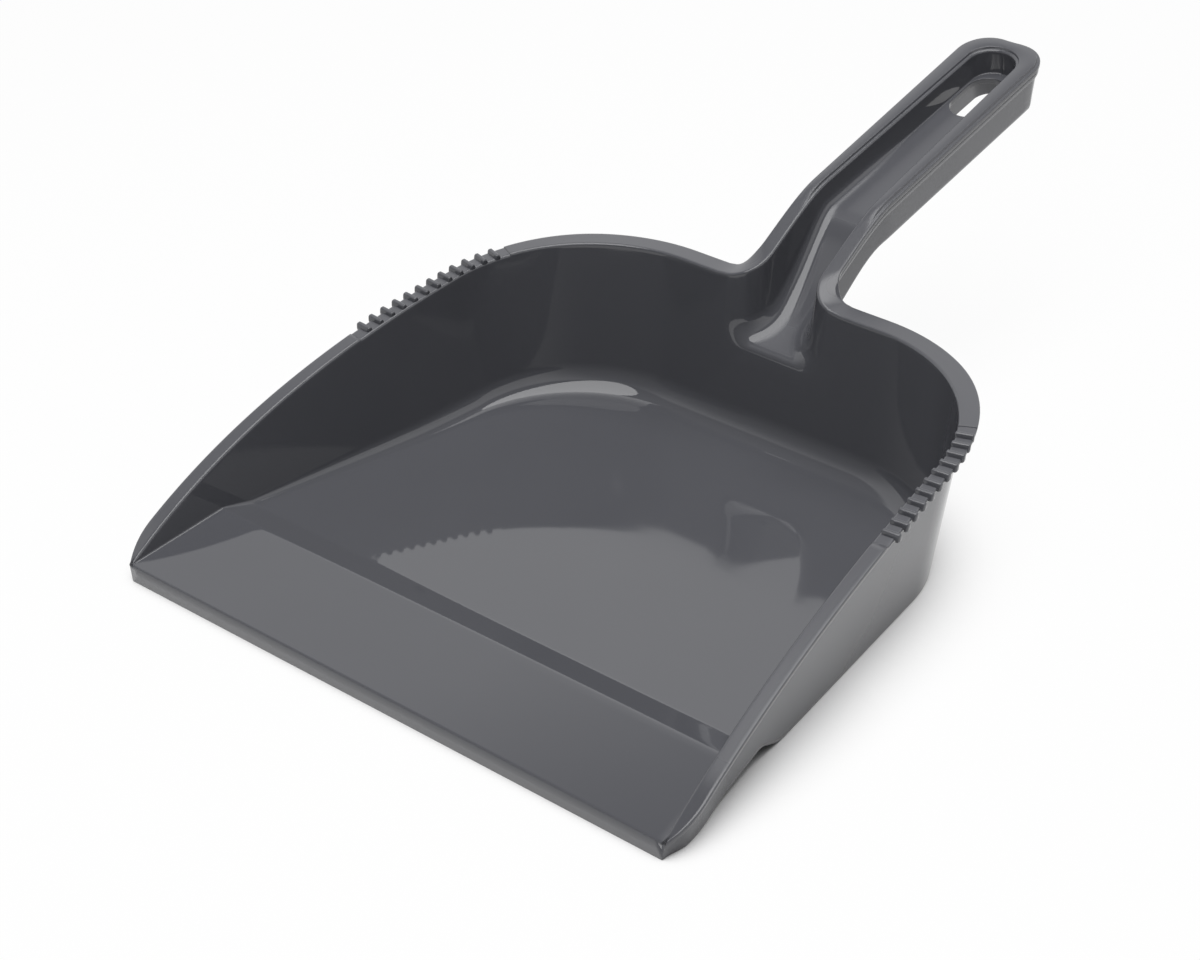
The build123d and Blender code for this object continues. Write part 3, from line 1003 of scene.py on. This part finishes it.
def comb_tree():
    """Geometry Nodes: teeth along a line."""
    tree = bpy.data.node_groups.new("comb_along_rim", "GeometryNodeTree")
    face = tree.interface
    face.new_socket("Line", in_out="INPUT", socket_type="NodeSocketGeometry")
    face.new_socket("Tooth", in_out="INPUT", socket_type="NodeSocketObject")
    face.new_socket("Teeth", in_out="INPUT", socket_type="NodeSocketInt")
    face.new_socket("Side", in_out="INPUT", socket_type="NodeSocketFloat")
    face.new_socket("Plastic", in_out="INPUT", socket_type="NodeSocketMaterial")
    face.new_socket("Comb", in_out="OUTPUT", socket_type="NodeSocketGeometry")
    node = tree.nodes.new
    link = tree.links.new
    given, result = node("NodeGroupInput"), node("NodeGroupOutput")
    spaced = node("GeometryNodeResampleCurve")
    link(given.outputs["Line"], spaced.inputs["Curve"])
    link(given.outputs["Teeth"], spaced.inputs["Count"])
    tangent = node("GeometryNodeInputTangent")
    turn = node("FunctionNodeAxesToRotation")
    turn.primary_axis, turn.secondary_axis = "Y", "Z"
    link(tangent.outputs["Tangent"], turn.inputs["Primary Axis"])
    turn.inputs["Secondary Axis"].default_value = UP
    picked = node("GeometryNodeObjectInfo")
    link(given.outputs["Tooth"], picked.inputs["Object"])
    size = node("ShaderNodeCombineXYZ")
    link(given.outputs["Side"], size.inputs["X"])
    size.inputs["Y"].default_value = size.inputs["Z"].default_value = 1.0
    set_on = node("GeometryNodeInstanceOnPoints")
    link(spaced.outputs["Curve"], set_on.inputs["Points"])
    link(picked.outputs["Geometry"], set_on.inputs["Instance"])
    link(turn.outputs["Rotation"], set_on.inputs["Rotation"])
    link(size.outputs["Vector"], set_on.inputs["Scale"])
    real = node("GeometryNodeRealizeInstances")
    link(set_on.outputs["Instances"], real.inputs["Geometry"])
    painted = node("GeometryNodeSetMaterial")
    link(real.outputs["Geometry"], painted.inputs["Geometry"])
    link(given.outputs["Plastic"], painted.inputs["Material"])
    link(painted.outputs["Geometry"], result.inputs["Comb"])
    return tree


comb_nodes = comb_tree()
print("comb tree has", len(comb_nodes.nodes), "nodes")

# %% [markdown]
# The plastic is moulded in colour: charcoal with a cool touch, and as polished as the mould. The floor
# mirrors the rim sharply, so it is hardly rough at all, but its gloss is never quite even. Flow in the
# mould leaves broad soft patches, a fine grain lies in the polish, and use has dulled it in faint wisps.
# The rims and the top of the handle, where a hand holds it, are finely textured. They are found
# as what faces up and lies above the tray's floor.


# %% Shader sums in Python
class Value:
    """A shader socket that can be used in Python sums."""

    def __init__(self, tree, socket):
        self.tree, self.socket = tree, socket

    def sum(self, operation, one, two):
        node = self.tree.nodes.new("ShaderNodeMath")
        node.operation = operation
        for slot, term in zip(node.inputs, (one, two)):
            if isinstance(term, Value):
                self.tree.links.new(term.socket, slot)
            else:
                slot.default_value = term
        return Value(self.tree, node.outputs[0])

    def __add__(self, other):
        return self.sum("ADD", self, other)

    def __sub__(self, other):
        return self.sum("SUBTRACT", self, other)

    def __rsub__(self, other):
        return self.sum("SUBTRACT", other, self)

    def __mul__(self, other):
        return self.sum("MULTIPLY", self, other)

    __radd__ = __add__
    __rmul__ = __mul__


class Finish:
    """The node tree of a material or of the world, under construction."""

    def __init__(self, owner):
        owner.use_nodes = True
        self.owner, self.tree = owner, owner.node_tree
        self.tree.nodes.clear()

    def add(self, kind, settings=None, sockets=None, output=0):
        """A node of this kind: settings first, then sockets by name or place. Gives one of its outputs."""
        node = self.tree.nodes.new(kind)
        for key, value in (settings or {}).items():
            setattr(node, key, value)
        for key, value in (sockets or {}).items():
            if isinstance(value, Value):
                self.tree.links.new(value.socket, node.inputs[key])
            else:
                node.inputs[key].default_value = value
        return Value(self.tree, node.outputs[output]) if node.outputs else None

    def ease(self, value, low, high):
        """A soft step from 0 to 1 between two values."""
        limits = {"Value": value, "From Min": low, "From Max": high}
        return self.add("ShaderNodeMapRange", {"interpolation_type": "SMOOTHSTEP"}, limits)

    def axis(self, kind, output, letter):
        """One axis of the vector that a node of this kind gives."""
        vector = self.add(kind, output=output)
        return self.add("ShaderNodeSeparateXYZ", sockets={0: vector}, output=letter)

    def noise(self, scale, detail, roughness=0.5):
        """Soft noise on the piece's own coordinates, in cells per metre."""
        spot = self.add("ShaderNodeTexCoord", output="Object")
        return self.add(
            "ShaderNodeTexNoise",
            sockets={"Vector": spot, "Scale": scale, "Detail": detail, "Roughness": roughness},
        )


print("sums and nodes are ready")


# %% The charcoal plastic
def charcoal_plastic():
    make = Finish(bpy.data.materials.new("charcoal_plastic"))
    flow = make.noise(26.0, 4.0, 0.55)
    patches = make.noise(11.0, 3.0)
    wisps = make.noise(170.0, 6.0, 0.7)
    grain = make.noise(2600.0, 2.0, 0.6)
    dark, light = (0.0945, 0.0965, 0.1080, 1), (0.1015, 0.1035, 0.1160, 1)
    colour = make.add("ShaderNodeMix", {"data_type": "RGBA"}, {0: flow, 6: dark, 7: light}, 2)
    upward = make.axis("ShaderNodeNewGeometry", "Normal", "Z")
    height = make.axis("ShaderNodeTexCoord", "Object", "Z")
    top = make.ease(upward, 0.75, 0.85) * make.ease(height, 0.012, 0.02)
    gloss = 0.022 + 0.022 * patches + 0.012 * wisps + 0.24 * top
    skin = make.add("ShaderNodeBump", None, {"Height": grain, "Strength": 0.012, "Distance": 0.00001})
    body = make.add(
        "ShaderNodeBsdfPrincipled",
        sockets={"Base Color": colour, "Roughness": gloss, "Normal": skin, "IOR": 1.54},
    )
    make.add("ShaderNodeOutputMaterial", sockets={"Surface": body})
    return make.owner


plastic = charcoal_plastic()
moulding.data.materials.append(plastic)
print("plastic has", len(plastic.node_tree.nodes), "nodes")

# %% [markdown]
# With the plastic at hand the combs can be made. Each line gets the node tree as a modifier, its inputs
# are set by identifier, and the evaluated result is kept as a plain mesh. On one side the tooth is
# mirrored, which turns it inside out, so the normals are worked out afresh.


# %% Both combs as plain meshes
def make_comb(name, side, count):
    line = comb_line(name + "_line", side, count)
    teeth = line.modifiers.new("comb", "NODES")
    teeth.node_group = comb_nodes
    values = {"Tooth": tooth, "Teeth": count, "Side": -side * 1.0, "Plastic": plastic}
    for item in comb_nodes.interface.items_tree:
        if item.name in values:
            teeth[item.identifier] = values[item.name]
    bpy.context.view_layer.update()
    graph = bpy.context.evaluated_depsgraph_get()
    mesh = bpy.data.meshes.new_from_object(line.evaluated_get(graph))
    bpy.data.objects.remove(line)
    shape = bmesh.new()
    shape.from_mesh(mesh)
    bmesh.ops.recalc_face_normals(shape, faces=shape.faces)
    shape.to_mesh(mesh)
    shape.free()
    mesh.name = name
    mesh.materials.clear()
    mesh.materials.append(plastic)
    print(name, len(mesh.polygons), "faces,", len(mesh.materials), "material")
    return show(name, mesh)


left_comb = make_comb("left_comb_teeth", -1, teeth_left)
right_comb = make_comb("right_comb_teeth", 1, teeth_right)

# %% [markdown]
# Every piece rides on the one body that the part has, and the CAD sections that it stands for are hidden.

# %% Tie the pieces to the frame
sections = [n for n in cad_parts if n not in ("left_comb", "right_comb")]
for piece, nodes in ((moulding, sections), (left_comb, ["left_comb"]), (right_comb, ["right_comb"])):
    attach(piece, "root")
    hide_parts(*nodes)
print("the moulding stands for", len(sections), "sections")

# %% [markdown]
# The dustpan lies on white paper in a white studio. A catalogue picture burns the paper out to white and
# keeps only a breath of shadow, so what the camera and the gloss see of it is mostly its own white. Close
# to the plastic, where little of the room reaches the paper, that white fades and the lit paper shows,
# which holds the shadow.


# %% Floor
def seen(make):
    """1 for rays from the camera and from mirrors, 0 for the rays that carry light."""
    path = make.add("ShaderNodeLightPath", output="Is Camera Ray")
    mirrored = make.add("ShaderNodeLightPath", output="Is Glossy Ray")
    through = make.add("ShaderNodeLightPath", output="Is Transmission Ray")
    return path + mirrored + through


def white_paper():
    make = Finish(bpy.data.materials.new("white_paper"))
    fibres = make.noise(900.0, 3.0)
    pale = (0.94, 0.94, 0.94, 1)
    lit = make.add(
        "ShaderNodeBsdfPrincipled",
        sockets={"Base Color": pale, "Roughness": 0.8 + 0.1 * fibres, "Specular IOR Level": 0.0},
    )
    white = make.add("ShaderNodeEmission", sockets={"Color": (1, 1, 1, 1), "Strength": 1.0})
    cover = make.add("ShaderNodeAmbientOcclusion", {"samples": 16}, {"Distance": 0.04}, "AO")
    clear = make.ease(cover, 0.2, 0.85)
    both = make.add("ShaderNodeMixShader", sockets={0: paper_white * clear * seen(make), 1: lit, 2: white})
    make.add("ShaderNodeOutputMaterial", sockets={"Surface": both})
    return make.owner


paper_white = 0.93
floor_half = 6.0
floor_mesh = bpy.data.meshes.new("floor")
floor_corners = [(x * floor_half, y * floor_half, 0) for x, y in ((-1, -1), (1, -1), (1, 1), (-1, 1))]
floor_mesh.from_pydata(floor_corners, [], [(0, 1, 2, 3)])
floor_mesh.materials.append(white_paper())
floor = show("floor", floor_mesh)
print("floor", 2 * floor_half, "m square")

# %% [markdown]
# Most of the light falls from a large soft box overhead. It fills the open tray, leaves its upright walls
# dark, and draws the bright lines along rounded edges that face up. The studio adds a weak light from all
# sides. What the gloss mirrors of it is white behind and beside the dustpan, and dim overhead, round the
# soft box, and in front.


# %% Light
dim_front = 0.12


def studio(fill, dim):
    """White walls as the gloss sees them, dimmer above and in front, and a weak fill for all else."""
    make = Finish(bpy.data.worlds.new("white_studio"))
    height = make.axis("ShaderNodeTexCoord", "Generated", "Z")
    depth = make.axis("ShaderNodeTexCoord", "Generated", "Y")
    above = make.ease(height, sin(radians(45)), sin(radians(51)))
    behind = make.ease(depth, -0.85, -0.3)
    mirrored = seen(make) * (1 - dim * above) * (dim_front + (1 - dim_front) * behind)
    weak = make.add("ShaderNodeBackground", sockets={"Color": (1, 1, 1, 1), "Strength": fill})
    white = make.add("ShaderNodeBackground", sockets={"Color": (1, 1, 1, 1), "Strength": 1.0})
    both = make.add("ShaderNodeMixShader", sockets={0: mirrored, 1: weak, 2: white})
    make.add("ShaderNodeOutputWorld", sockets={"Surface": both})
    bpy.context.scene.world = make.owner


def soft_box(name, spot, width, length, brightness):
    """An oval lamp that looks straight down, with the brightness that a mirror sees."""
    lamp = bpy.data.lights.new(name, "AREA")
    lamp.shape, lamp.size, lamp.size_y = "ELLIPSE", width, length
    lamp.energy = brightness * pi * pi * width * length / 4
    holder = bpy.data.objects.new(name, lamp)
    holder.location = spot
    bpy.context.scene.collection.objects.link(holder)
    return holder


studio(0.07, 0.85)
soft_box("overhead", (0.05, -0.2, 1.25), 1.05, 1.9, 3.9)
bpy.context.scene.view_settings.view_transform = "Standard"

# %% [markdown]
# The camera stands in front of the lip, to the right and above, with a long lens as for a catalogue.
# Its place and its lens are those with which the straight edges and the rims fall on the right lines.

# %% Camera
camera_azimuth, camera_elevation = radians(39.0), radians(32.48)
camera_spot = Vector((402.51, -398.67 + lip_y, 434.55)) * MM
lens = bpy.data.cameras.new("camera")
lens.lens, lens.sensor_width = 76.28, 36.0
camera = bpy.data.objects.new("camera", lens)
back = Vector((
    sin(camera_azimuth) * cos(camera_elevation),
    -cos(camera_azimuth) * cos(camera_elevation),
    sin(camera_elevation),
))
camera.location = camera_spot
camera.rotation_euler = (-back).to_track_quat("-Z", "Y").to_euler()
bpy.context.scene.collection.objects.link(camera)
bpy.context.scene.camera = camera
print("camera at", [round(v, 3) for v in camera_spot])
